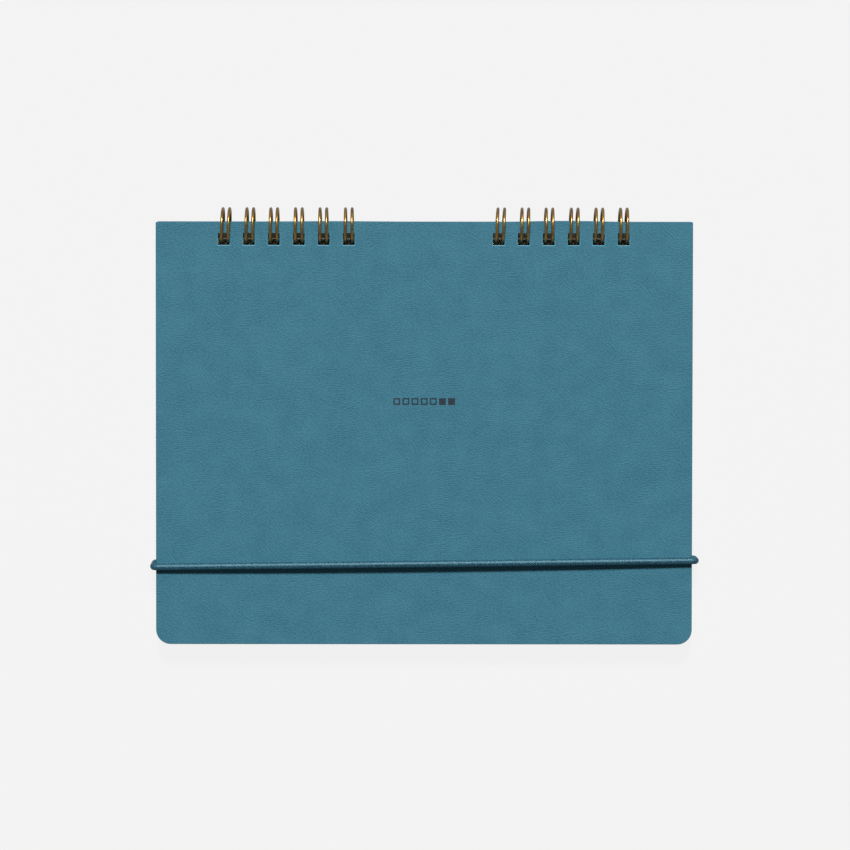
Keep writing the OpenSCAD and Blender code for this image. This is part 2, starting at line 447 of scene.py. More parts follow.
@dataclass(frozen=True)
class BronzeWire(ShadedFinish):
    """Plated steel wire in dark bronze, drawn smooth and lacquered."""

    name: str = "bronze wire"
    bright: str = "#b3851d"
    dull: str = "#85611a"
    cloud_scale: float = 420.0
    streak_scale: float = 5200.0
    relief_depth: float = 0.004 * MM
    roughness: float = 0.33
    glossier: float = 0.05
    duller: float = 0.07
    lacquer: float = 1.0
    lacquer_bend: float = 1.6
    lacquer_roughness: float = 0.2
    # Painted shade: from this place towards the free edge the wire is painted almost black and
    # loses its lacquer, where it runs down into the punched holes.
    painted_shade_y: float = -1.0
    painted_shade_fade: float = 1.3 * MM
    painted_shade_share: float = 0.06

    def paint(self, graph: Graph, shader: Node) -> None:
        """Varies the plating's tone and gloss, and paints shade on it towards the free edge, where
        it runs down into the holes: there it turns almost black and loses its lacquer.

        Args:
            graph: The finish's node tree.
            shader: Its shader.
        """
        place = object_place(graph)
        # Painted shade: the share of the plating's own colour and lacquer, which falls almost to
        # nothing towards the free edge.
        whole = graph.spread(graph.parts(place)[1], self.painted_shade_y,
                             self.painted_shade_y + self.painted_shade_fade, self.painted_shade_share, 1.0)
        cloud = graph.noise(place, self.cloud_scale, detail=2.0).outputs[0]
        streak = graph.noise(place, self.streak_scale, detail=1.0).outputs[0]
        colour = graph.blend(graph.spread(cloud, *CLOUD_RANGE), linear(self.dull),
                             linear(self.bright))
        graph.fill(shader, {
            "Base Color": graph.blend(whole, (0.0, 0.0, 0.0, 1.0), colour),
            "Metallic": 1.0,
            "Roughness": graph.spread(streak, *CLOUD_RANGE, self.roughness - self.glossier,
                                      self.roughness + self.duller),
            "Coat Weight": graph.math("MULTIPLY", whole, self.lacquer),
            "Coat IOR": self.lacquer_bend,
            "Coat Roughness": self.lacquer_roughness})
        relief(graph, shader, streak, self.relief_depth)


@dataclass(frozen=True)
class BraidedElastic(ShadedFinish):
    """Round braided elastic, whose strands follow the cord's own UV map."""

    name: str = "braided elastic"
    uv: str = "Braid"
    strands: int = 8
    strand_fibres: int = 5
    colour: str = "#093c52"
    fleck: str = "#438196"
    # Painted shade: the dark colour laid into the gaps between the strands.
    gap_shade: str = "#07202c"
    shine: str = "#c8f4ff"
    wear_scale: float = 1900.0
    wear_edges: tuple[float, float] = (0.38, 0.62)
    fleck_base: float = 0.45
    fleck_fibre: float = 0.35
    gap_edges: tuple[float, float] = (0.12, 0.55)
    fibre_relief: float = 0.18
    relief_depth: float = 0.035 * MM
    roughness: float = 0.43
    specular: float = 0.8

    def paint(self, graph: Graph, shader: Node) -> None:
        """Draws each crossing's upper strand and its fibres, and paints shade into the gap round
        it.

        Args:
            graph: The finish's node tree.
            shader: Its shader.
        """
        along, around = graph.parts(graph.node("ShaderNodeUVMap", uv_map=self.uv).outputs[0])[:2]
        one, other = [graph.math("MULTIPLY", graph.math(way, around, along), float(self.strands))
                      for way in ("ADD", "SUBTRACT")]
        body = graph.math("SQRT", graph.crossing(one, other))
        cells = graph.math("ADD", graph.math("FLOOR", one), graph.math("FLOOR", other))
        upper = graph.math("FLOORED_MODULO", cells, 2.0)
        rest = graph.math("MULTIPLY", other, graph.math("SUBTRACT", 1.0, upper))
        across = graph.math("MULTIPLY_ADD", one, upper, rest)
        wave = graph.math("SINE", graph.math("MULTIPLY", across,
                                             2 * self.strand_fibres * math.pi))
        fibres = graph.math("MULTIPLY_ADD", wave, 0.5, 0.5)
        worn = graph.noise(object_place(graph), self.wear_scale, detail=2.0).outputs[0]
        pale = graph.math("MULTIPLY", graph.spread(worn, *self.wear_edges),
                          graph.math("MULTIPLY_ADD", fibres, self.fleck_fibre, self.fleck_base))
        strand = graph.blend(pale, linear(self.colour), linear(self.fleck))
        open_gap = graph.spread(body, *self.gap_edges)
        graph.fill(shader, {
            # Painted shade: the gaps between strands take the dark colour.
            "Base Color": graph.blend(open_gap, linear(self.gap_shade), strand),
            "Roughness": self.roughness,
            "Specular IOR Level": self.specular,
            "Specular Tint": linear(self.shine)})
        height = graph.math("MULTIPLY_ADD", fibres, self.fibre_relief,
                            graph.math("MULTIPLY", body, 1 - self.fibre_relief))
        relief(graph, shader, height, self.relief_depth)


@dataclass(frozen=True)
class StudioFloor:
    """A pale floor that the camera sees at its written tone, with faint shadows."""

    tone: str = "#f3f3f3"
    shadow_share: float = 0.035
    gloss_share: float = 0.4
    dark_from: float = 5 * MM
    dark_to: float = 1 * MM

    def open_floor(self, graph: Graph) -> Socket:
        """Is 1 beside the closed calendar and 0 beneath it.

        Args:
            graph: The floor's node tree.

        Returns:
            Output with that share.
        """
        low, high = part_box("front_cover")
        beyond = []
        for axis, place in enumerate(graph.parts(object_place(graph))[:2]):
            middle, half = (low[axis] + high[axis]) / 2, (high[axis] - low[axis]) / 2
            off = graph.math("ABSOLUTE", graph.math("SUBTRACT", place, middle))
            beyond.append(graph.spread(off, half - self.dark_from, half - self.dark_to))
        return graph.math("MAXIMUM", *beyond)

    def material(self) -> bpy.types.Material:
        """Mixes plain matt paint with a light that only pictures and gloss see.

        Returns:
            The floor's material.
        """
        made = bpy.data.materials.new("studio floor")
        made.use_nodes = True
        graph = Graph(made.node_tree)
        made.node_tree.nodes.remove(made.node_tree.nodes["Principled BSDF"])
        paint = graph.fed("ShaderNodeBsdfDiffuse", {"Color": linear(self.tone)})
        gloss = graph.node("ShaderNodeLightPath").outputs["Is Glossy Ray"]
        dimmed = graph.math("SUBTRACT", 1.0, graph.math("MULTIPLY", gloss, 1.0 - self.gloss_share))
        glow = graph.fed("ShaderNodeEmission", {"Color": linear(self.tone), "Strength": dimmed})
        seen = graph.math("MULTIPLY", seen_directly(graph), self.open_floor(graph))
        share = graph.math("MULTIPLY", seen, 1.0 - self.shadow_share)
        mixed = graph.fed("ShaderNodeMixShader", {0: share, 1: paint.outputs[0],
                                                  2: glow.outputs[0]})
        graph.feed(made.node_tree.nodes["Material Output"].inputs["Surface"], mixed.outputs[0])
        return made


def set_out(name: str, data: bpy.types.ID) -> Object:
    """Makes an object of some data, at the origin, and links it to the scene.

    Args:
        name: Name of the object.
        data: Its mesh, curve, lamp or camera.

    Returns:
        The new object.
    """
    made = bpy.data.objects.new(name, data)
    bpy.context.scene.collection.objects.link(made)
    return made


class Input(Enum):
    """The kinds of input that a geometry tree takes."""

    SHAPE = "NodeSocketGeometry"
    LENGTH = "NodeSocketFloat"
    COUNT = "NodeSocketInt"
    FINISH = "NodeSocketMaterial"


class ShapeTree:
    """A geometry tree with named inputs that turns one object into a plain mesh."""

    def __init__(self, name: str, inputs: dict[str, Input]) -> None:
        """Opens the tree with the shape that comes in and the named inputs.

        Args:
            name: Name of the tree.
            inputs: Each named input and its kind.
        """
        self.tree = bpy.data.node_groups.new(name, "GeometryNodeTree")
        self.graph = Graph(self.tree)
        face = self.tree.interface
        face.new_socket("Shape", in_out="INPUT", socket_type=Input.SHAPE.value)
        face.new_socket("Shape", in_out="OUTPUT", socket_type=Input.SHAPE.value)
        self.keys = {label: face.new_socket(label, in_out="INPUT", socket_type=kind.value)
                     .identifier for label, kind in inputs.items()}
        self.inlet = self.graph.node("NodeGroupInput").outputs

    def stored(self, shape: Value, name: str, value: Value) -> Socket:
        """Stores a value on a shape's points under a name."""
        inputs = {"Geometry": shape, "Name": name, "Value": value}
        return self.graph.fed("GeometryNodeStoreNamedAttribute", inputs).outputs[0]

    def found(self, name: str) -> Socket:
        """Reads back the value that is stored under a name."""
        return self.graph.fed("GeometryNodeInputNamedAttribute", {"Name": name}).outputs[0]

    def moved(self, shape: Value, offset: Value) -> Socket:
        """Moves a shape's points."""
        return self.graph.fed("GeometryNodeSetPosition", {0: shape, "Offset": offset}).outputs[0]

    def dressed(self, shape: Value, finish: str, where: Value = True) -> Socket:
        """Gives a shape the finish of one input, on all its faces or on some."""
        inputs = {0: shape, "Selection": where, "Material": self.inlet[finish]}
        return self.graph.fed("GeometryNodeSetMaterial", inputs).outputs[0]

    def solid(self, shape: Value) -> Socket:
        """Turns instances into plain mesh."""
        return self.graph.fed("GeometryNodeRealizeInstances", {0: shape}).outputs[0]

    def profile(self) -> Socket:
        """Makes the round profile of the inputs Radius and Sides."""
        inputs = {"Resolution": self.inlet["Sides"], "Radius": self.inlet["Radius"]}
        return self.graph.fed("GeometryNodeCurvePrimitiveCircle", inputs).outputs[0]

    def close(self, shape: Value) -> None:
        """Joins the finished shape to the tree's output."""
        self.graph.fed("NodeGroupOutput", {0: shape})

    def run(self, source: Object, name: str, values: dict[str, Value]) -> Object:
        """Runs the tree on an object and keeps only the plain mesh it makes.

        Args:
            source: The object that the tree works on, which is removed.
            name: Name of the piece.
            values: A value for each named input.

        Returns:
            The finished piece, at the origin.
        """
        modifier = source.modifiers.new("shape", "NODES")
        modifier.node_group = self.tree
        for label, value in values.items():
            modifier[self.keys[label]] = value
        bpy.context.view_layer.update()
        graph = bpy.context.evaluated_depsgraph_get()
        mesh = bpy.data.meshes.new_from_object(source.evaluated_get(graph),
                                               preserve_all_data_layers=True, depsgraph=graph)
        source.modifiers.remove(modifier)
        bpy.data.objects.remove(source)
        mesh.name = name
        return set_out(name, mesh)


def path_object(points: Sequence[Vector], radii: Sequence[float] | None = None) -> Object:
    """Makes an open curve through points, for a tree to sweep a profile along.

    Args:
        points: The points that the curve follows.
        radii: A factor on the profile's size at each point, or nothing for 1.

    Returns:
        The curve as an object.
    """
    curve = bpy.data.curves.new("path", "CURVE")
    curve.dimensions = "3D"
    spline = curve.splines.new("POLY")
    spline.points.add(len(points) - 1)
    for i, point in enumerate(points):
        spline.points[i].co = (*point, 1.0)
        spline.points[i].radius = radii[i] if radii else 1.0
    return set_out("path", curve)


def smooth_sides(made: Object) -> None:
    """Shades a swept tube's sides smooth and leaves its ends flat."""
    for face in made.data.polygons:
        face.use_smooth = len(face.vertices) == 4


def sweep_tree() -> ShapeTree:
    """Builds the tree that sweeps a round wire along a path and closes its ends.

    Returns:
        The tree, with inputs Radius, Sides and Finish.
    """
    made = ShapeTree("round wire", {"Radius": Input.LENGTH, "Sides": Input.COUNT,
                                    "Finish": Input.FINISH})
    graph, inlet = made.graph, made.inlet
    tube = graph.fed("GeometryNodeCurveToMesh", {
        "Curve": inlet["Shape"], "Profile Curve": made.profile(), "Fill Caps": True})
    made.close(made.dressed(made.solid(tube.outputs[0]), "Finish"))
    return made


def braid_tree() -> ShapeTree:
    """Builds the tree that sweeps a cord along a path and raises its braid.

    Returns:
        The tree. It stores the place along and around the cord on the mesh.
    """
    made = ShapeTree("braided cord", {
        "Radius": Input.LENGTH, "Sides": Input.COUNT, "Step": Input.LENGTH,
        "Strands": Input.LENGTH, "Lay": Input.LENGTH, "Relief": Input.LENGTH,
        "Finish": Input.FINISH})
    graph, inlet = made.graph, made.inlet
    even = graph.fed("GeometryNodeResampleCurve", {"Curve": inlet["Shape"],
                                                   "Length": inlet["Step"]}, mode="LENGTH")
    spline = graph.node("GeometryNodeSplineParameter").outputs
    laid = made.stored(even.outputs[0], "along",
                       graph.math("DIVIDE", spline["Length"], inlet["Lay"]))
    tube = graph.fed("GeometryNodeCurveToMesh", {
        "Curve": laid, "Profile Curve": made.stored(made.profile(), "around", spline["Factor"]),
        "Scale": graph.node("GeometryNodeInputRadius").outputs[0], "Fill Caps": True})
    along, around = made.found("along"), made.found("around")
    ways = [graph.math("MULTIPLY", graph.math(way, around, along), inlet["Strands"])
            for way in ("ADD", "SUBTRACT")]
    body = graph.math("SQRT", graph.math("MAXIMUM", graph.crossing(*ways), 0.0))
    sink = graph.math("MULTIPLY", graph.math("SUBTRACT", body, 1.0), inlet["Relief"])
    shift = graph.scaled(graph.node("GeometryNodeInputNormal").outputs[0], sink)
    raised = made.moved(tube.outputs[0], shift)
    made.close(made.dressed(made.solid(raised), "Finish"))
    return made


def stack_tree() -> ShapeTree:
    """Builds the tree that stacks copies of one leaf into a leaning, swelling block.

    Returns:
        The tree. Its lengths are places along Y and Z in the calendar's frame.
    """
    made = ShapeTree("leaf stack", {
        "Leaves": Input.COUNT, "Lowest": Input.LENGTH, "Thin": Input.LENGTH,
        "Thick": Input.LENGTH, "Swell start": Input.LENGTH, "Swell length": Input.LENGTH,
        "Lean": Input.LENGTH, "Scatter": Input.LENGTH, "Seed": Input.COUNT,
        "Paper": Input.FINISH, "First leaf": Input.FINISH})
    graph, inlet = made.graph, made.inlet
    last = graph.math("SUBTRACT", inlet["Leaves"], 1.0)
    level = graph.math("DIVIDE", graph.node("GeometryNodeInputIndex").outputs[0], last)
    line = graph.fed("GeometryNodeMeshLine", {"Count": inlet["Leaves"], "Offset": (0, 0, 0)})
    ranked = made.stored(line.outputs[0], "level", level)
    spot = graph.fed("FunctionNodeRandomValue", {"Min": (-1.0, -1.0, 0.0), "Max": (1.0, 1.0, 0.0),
                                                 "Seed": inlet["Seed"]}, data_type="FLOAT_VECTOR")
    strewn = made.moved(ranked, graph.scaled(spot.outputs[0], inlet["Scatter"]))
    leaves = graph.fed("GeometryNodeInstanceOnPoints", {"Points": strewn,
                                                        "Instance": inlet["Shape"]})
    rank = made.found("level")
    place = graph.parts(graph.node("GeometryNodeInputPosition").outputs[0])[1]
    run = graph.math("DIVIDE", graph.math("SUBTRACT", inlet["Swell start"], place),
                     inlet["Swell length"])
    held = graph.math("MINIMUM", graph.math("MAXIMUM", run, 0.0), 1.0)
    wave = graph.math("COSINE", graph.math("MULTIPLY", held, math.pi))
    eased = graph.math("MULTIPLY_ADD", wave, -0.5, 0.5)
    gain = graph.math("MULTIPLY", eased, graph.math("SUBTRACT", inlet["Thick"], inlet["Thin"]))
    depth = graph.math("ADD", inlet["Thin"], gain)
    up = graph.math("MULTIPLY_ADD", rank, depth, inlet["Lowest"])
    back = graph.math("MULTIPLY", graph.math("SUBTRACT", 1.0, rank), inlet["Lean"])
    offset = graph.fed("ShaderNodeCombineXYZ", {0: 0.0, 1: back, 2: up})
    placed = made.moved(made.solid(leaves.outputs[0]), offset.outputs[0])
    almost_last = 0.999
    first = graph.math("GREATER_THAN", rank, almost_last)
    made.close(made.dressed(made.dressed(placed, "Paper"), "First leaf", first))
    return made


class Piece:
    """A piece of the calendar, which takes the place of one CAD node."""

    node: str
    body: str

    def hang(self, made: Object, slot: str) -> Object:
        """Puts a finished mesh on its body and hides the CAD node whose place it takes.

        Args:
            made: The finished mesh.
            slot: Not used.

        Returns:
            The same mesh object.
        """
        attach(made, self.body)
        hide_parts(self.node)
        return made


@dataclass
class Binding:
    """Sizes that the punched sheets and the wires share, and the wires' axis."""

    pitch: float = 8.467 * MM
    loops: int = 6
    free_places: int = 5
    hole: float = 3.9 * MM
    wire_d: float = 1 * MM
    leg_gap: float = 2.25 * MM
    hole_shift: float = -0.22 * MM

    def __post_init__(self) -> None:
        """Reads the loops' size and axis from the CAD wire's box."""
        low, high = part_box("wire_left")
        reach = (high[2] - low[2]) / 2
        self.loop_r = reach - self.wire_d / 2
        self.axis_y = high[1] - reach
        self.axis_z = low[2] + reach

    def places(self, side: int) -> list[float]:
        """Lists the middles of one run's loops from left to right."""
        found = [side * (n + (self.free_places + 1) / 2) * self.pitch for n in range(self.loops)]
        return sorted(found)

    def holes(self) -> list[float]:
        """Lists the middles of all punched holes, a little beside the loops' middles."""
        return [x + self.hole_shift for side in (-1, 1) for x in self.places(side)]


def arc(middle: Point, radius: float, start: float, sweep: float, steps: int) -> Outline:
    """Lists points on part of a circle.

    Args:
        middle: Centre of the circle.
        radius: Its radius.
        start: Angle of the first point, in degrees.
        sweep: Angle from the first point to the last, in degrees.
        steps: Number of steps between them.

    Returns:
        The points, both ends included.
    """
    turns = [math.radians(start + sweep * i / steps) for i in range(steps + 1)]
    return [(middle[0] + radius * math.cos(a), middle[1] + radius * math.sin(a)) for a in turns]


def square(middle: Point, side: float, corner: float = 0.0) -> Outline:
    """Lists a square's points anticlockwise, with its corners rounded if asked.

    Args:
        middle: Centre of the square.
        side: Length of its sides.
        corner: Radius of its corners, or 0 for sharp ones.

    Returns:
        The points.
    """
    half = side / 2
    if not corner:
        return [(middle[0] + half * x, middle[1] + half * y)
                for x, y in ((1, 1), (-1, 1), (-1, -1), (1, -1))]
    points: Outline = []
    for start, x, y in ((0, 1, 1), (90, -1, 1), (180, -1, -1), (270, 1, -1)):
        turn = (middle[0] + (half - corner) * x, middle[1] + (half - corner) * y)
        points += arc(turn, corner, start, 90, SQUARE_CORNER_STEPS)
    return points


def inset(outline: Outline, distance: float) -> Outline:
    """Moves an outline's corners to its left, seen along its own direction.

    Args:
        outline: A closed outline.
        distance: How far each side moves.

    Returns:
        The moved outline, with as many points.
    """
    points = np.array(outline)
    before = points - np.roll(points, 1, axis=0)
    after = np.roll(points, -1, axis=0) - points
    lefts = []
    for sides in (before, after):
        length = np.linalg.norm(sides, axis=1, keepdims=True)
        lefts.append(np.stack([-sides[:, 1], sides[:, 0]], axis=1) / length)
    mean = lefts[0] + lefts[1]
    mean /= (mean * lefts[0]).sum(axis=1, keepdims=True)
    return [tuple(p) for p in points + mean * distance]


class SheetMesh:
    """A mesh under construction, with rings of points round its outlines."""

    def __init__(self) -> None:
        """Starts an empty mesh."""
        self.mesh = bmesh.new()

    def ring(self, outline: Outline, height: float) -> Ring:
        """Adds an outline's points at one height."""
        return [self.mesh.verts.new((x, y, height)) for x, y in outline]

    def edges(self, ring: Ring) -> list[bmesh.types.BMEdge]:
        """Joins a ring's points, or finds the edges that already join them."""
        pairs = zip(ring, [*ring[1:], ring[0]])
        return [self.mesh.edges.get(pair) or self.mesh.edges.new(pair) for pair in pairs]

    def wall(self, upper: Ring, lower: Ring, slot: int) -> None:
        """Joins two rings by a band of faces in one material slot.

        Args:
            upper: One ring.
            lower: The other ring, with as many points.
            slot: Number of the material slot.
        """
        for i in range(len(upper)):
            j = (i + 1) % len(upper)
            face = self.mesh.faces.new((upper[i], upper[j], lower[j], lower[i]))
            face.material_index = slot
            face.smooth = True

    def cap(self, rings: Iterable[Ring], slot: int) -> None:
        """Fills the flat face between rings in one material slot.

        Args:
            rings: The rings that bound the face, all at one height.
            slot: Number of the material slot.
        """
        edges = [edge for ring in rings for edge in self.edges(ring)]
        made = bmesh.ops.triangle_fill(self.mesh, use_beauty=True, use_dissolve=False,
                                       edges=edges, normal=(0.0, 0.0, 1.0))
        for face in made["geom"]:
            if isinstance(face, bmesh.types.BMFace):
                face.material_index = slot
                face.smooth = False

    def finish(self, name: str, materials: Sequence[bpy.types.Material]) -> Object:
        """Turns all faces outwards and makes the object.

        Args:
            name: Name of the piece.
            materials: Its materials, by slot.

        Returns:
            The piece, at the origin.
        """
        bmesh.ops.recalc_face_normals(self.mesh, faces=self.mesh.faces)
        data = bpy.data.meshes.new(name)
        self.mesh.to_mesh(data)
        self.mesh.free()
        for material in materials:
            data.materials.append(material)
        return set_out(name, data)


class CoverSlot(IntEnum):
    """The material slots of a cover sheet, in the order of its finishes."""

    GRAIN = 0
    EDGE = 1
    LINING = 2
    MARK = 3
    RIM = 4


@dataclass
class Cover(Piece):
    """One supple cover: grained outside, lined inside, punched along the binding."""

    node: str
    body: str
    binding: Binding
    outside_up: bool
    free_corner_r: float = 5 * MM
    binding_corner_r: float = 0.5 * MM
    free_reach: float = 0.3 * MM
    near_reach: float = 0.15 * MM
    hole_strip: float = 3.97 * MM
    hole_corner_r: float = 0.2 * MM
    edge_r: float = 0.16 * MM
    hole_edge_r: float = 0.34 * MM
    wave_height: float = 0.0
    wave_middle: float = 48 * MM
    wave_half: float = 24 * MM
    left_drop: float = 0.0
    free_steps: int = 12
    binding_steps: int = 5
    edge_steps: int = 84
    drop_from: float = 50 * MM
    marked: bool = False
    marks: int = 7
    open_marks: int = 5
    mark_side: float = 2.3 * MM
    mark_pitch: float = 3.1 * MM
    mark_line: float = 0.45 * MM
    mark_depth: float = 0.15 * MM
    mark_from_axis: float = 59.4 * MM
    mark_edge_r: float = 0.05 * MM

    def __post_init__(self) -> None:
        """Reads the cover's place from its CAD node, and lets it reach a little further."""
        low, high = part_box(self.node)
        self.half = high[0]
        self.free, self.near = low[1] - self.free_reach, high[1] + self.near_reach
        self.under, self.top = low[2], high[2]

    def ripple(self, x: float) -> float:
        """Finds how far the binding edge shifts where the supple sheet bears on the wires.

        Args:
            x: Place along the binding.

        Returns:
            The shift along Y.
        """
        run = abs(x - self.wave_middle) / self.wave_half
        rise = self.wave_height * math.cos(math.pi * min(run, 1) / 2) ** 2
        sunk = min(max((-x - self.drop_from) / (self.half - self.drop_from), 0), 1)
        return rise - self.left_drop * sunk

    def outline(self) -> Outline:
        """Lists the sheet's outline anticlockwise, with its gently waved binding edge.

        Returns:
            The outline's points.
        """
        far_r, near_r = self.free_corner_r, self.binding_corner_r
        far, near = self.half - far_r, self.half - near_r
        points = arc((-far, self.free + far_r), far_r, 180, 90, self.free_steps)
        points += arc((far, self.free + far_r), far_r, 270, 90, self.free_steps)
        points += arc((near, self.near - near_r), near_r, 0, 90, self.binding_steps)
        points += [(near * (1 - 2 * i / self.edge_steps), self.near)
                   for i in range(1, self.edge_steps)]
        points += arc((-near, self.near - near_r), near_r, 90, 90, self.binding_steps)
        return [(x, y + (self.ripple(x) if y > self.near - near_r else 0)) for x, y in points]

    def holes(self) -> list[Outline]:
        """Lists the square holes clockwise, so that the sheet lies to their left.

        Returns:
            Each hole's outline.
        """
        y = self.near - self.hole_strip - self.binding.hole / 2
        return [square((x, y), self.binding.hole, self.hole_corner_r)[::-1]
                for x in self.binding.holes()]

    def rim(self, r: float) -> list[tuple[float, float]]:
        """Lists an edge's profile as insets and heights, from the top down.

        Args:
            r: Radius to which the edge is rounded.

        Returns:
            The inset and height of each ring.
        """
        turns = [math.radians(a) for a in (0, 30, 60, 90)]
        upper = [(r * (1 - math.sin(a)), self.top - r * (1 - math.cos(a))) for a in turns]
        lower = [(back, self.top + self.under - height) for back, height in reversed(upper)]
        return upper + lower

    def press(self, sheet: SheetMesh) -> list[Ring]:
        """Presses the row of seven squares, five outlined and two solid, into the top.

        Args:
            sheet: The mesh that the squares are pressed into.

        Returns:
            The rings that the pressed squares leave in the top face.
        """
        left_open: list[Ring] = []
        profile = ((self.mark_edge_r, self.top), (0.0, self.top - self.mark_edge_r),
                   (-self.mark_edge_r / 2, self.top - self.mark_depth))
        for number in range(self.marks):
            middle = ((number - self.marks // 2) * self.mark_pitch,
                      self.binding.axis_y - self.mark_from_axis)
            outlines = [square(middle, self.mark_side)[::-1]]
            if number < self.open_marks:
                outlines.append(square(middle, self.mark_side - 2 * self.mark_line))
            floors = []
            for outline in outlines:
                rings = [sheet.ring(inset(outline, back), height) for back, height in profile]
                sheet.wall(rings[0], rings[1], CoverSlot.GRAIN)
                sheet.wall(rings[1], rings[2], CoverSlot.MARK)
                left_open.append(rings[0])
                floors.append(rings[2])
            sheet.cap(floors, CoverSlot.MARK)
        return left_open

    def build(self) -> Object:
        """Builds, dresses and hangs the cover.

        Returns:
            The finished piece.
        """
        sheet = SheetMesh()
        faces = [CoverSlot.GRAIN, CoverSlot.LINING]
        over, under = faces if self.outside_up else faces[::-1]
        tops, bottoms = [], []
        edges = [(self.outline(), self.edge_r), *((h, self.hole_edge_r) for h in self.holes())]
        for outline, r in edges:
            rings = [sheet.ring(inset(outline, back), height) for back, height in self.rim(r)]
            slots = [over, over, *[CoverSlot.EDGE] * 3, under, under]
            # The hole's upper rounded bands take the lighter rim finish: painted highlight over
            # the real rounding.
            if r == self.hole_edge_r and self.outside_up:
                slots[0] = slots[1] = CoverSlot.RIM
            for i in range(len(rings) - 1):
                sheet.wall(rings[i], rings[i + 1], slots[i])
            tops.append(rings[0])
            bottoms.append(rings[-1])
        if self.marked:
            tops += self.press(sheet)
        sheet.cap(tops, over)
        sheet.cap(bottoms, under)
        finishes = (Leatherette(), CUT_EDGE, LINING, PRESSED_MARK, RIM_PAINTED_HIGHLIGHT)
        made = sheet.finish(self.node + "_sheet", [f.material() for f in finishes])
        return self.hang(made, "cover")


@dataclass
class PageStack(Piece):
    """The calendar's leaves, each punched, leaning and pressed thin at the wire."""

    binding: Binding
    node: str = "page_block"
    body: str = "page_stack"
    leaves: int = 56
    leaf_t: float = 0.062 * MM
    lean: float = 0.7 * MM
    clear: float = 0.2 * MM
    strip: float = 1.75 * MM
    thin: float = 3.45 * MM
    punched_margin: float = 0.2 * MM
    swell: float = 22 * MM
    swell_steps: int = 10
    corner_r: float = 4 * MM
    corner_steps: int = 8
    scatter: float = 0.035 * MM
    seed: int = 7

    def __post_init__(self) -> None:
        """Reads the stack's place from its CAD node."""
        low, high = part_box(self.node)
        self.half = high[0] - self.scatter
        self.free = low[1] + self.scatter
        self.near = high[1] - self.lean - self.scatter - self.clear
        self.under, self.top = low[2], high[2]

    def leaf(self) -> Object:
        """Makes one flat leaf at height 0, divided where the stack will swell.

        Returns:
            The leaf, as a thin closed slab.
        """
        sheet = SheetMesh()
        hole_near = self.near - self.strip
        bound = hole_near - self.binding.hole - self.punched_margin
        corners = [(-self.half, bound), (self.half, bound), (self.half, self.near),
                   (-self.half, self.near)]
        head = sheet.ring(corners, 0.0)
        y = hole_near - self.binding.hole / 2
        holes = [sheet.ring(square((x, y), self.binding.hole)[::-1], 0.0)
                 for x in self.binding.holes()]
        sheet.cap([head, *holes], 0)
        left, right = head[0], head[1]
        for i in range(1, self.swell_steps + 1):
            row = bound - self.swell * i / self.swell_steps
            next_left, next_right = sheet.ring([(-self.half, row), (self.half, row)], 0.0)
            sheet.mesh.faces.new((left, next_left, next_right, right))
            left, right = next_left, next_right
        r, steps = self.corner_r, self.corner_steps
        tail = arc((-self.half + r, self.free + r), r, 180, 90, steps)
        tail += arc((self.half - r, self.free + r), r, 270, 90, steps)
        sheet.mesh.faces.new([left, *sheet.ring(tail, 0.0), right])
        lifted = bmesh.ops.extrude_face_region(sheet.mesh, geom=sheet.mesh.faces[:])
        raised = [v for v in lifted["geom"] if isinstance(v, bmesh.types.BMVert)]
        bmesh.ops.translate(sheet.mesh, verts=raised, vec=(0.0, 0.0, self.leaf_t))
        return sheet.finish("leaf", [])

    def build(self) -> Object:
        """Stacks, dresses and places the leaves.

        Returns:
            The finished piece.
        """
        bound = self.near - self.strip - self.binding.hole
        made = stack_tree().run(self.leaf(), "page_leaves", {
            "Leaves": self.leaves, "Lowest": self.under, "Thin": self.thin - self.leaf_t,
            "Thick": self.top - self.under - self.leaf_t, "Swell start": bound,
            "Swell length": self.swell, "Lean": self.lean, "Scatter": self.scatter,
            "Seed": self.seed, "Paper": LEAF_PAPER.material(),
            "First leaf": MonthLeaf().material()})
        return self.hang(made, "page")


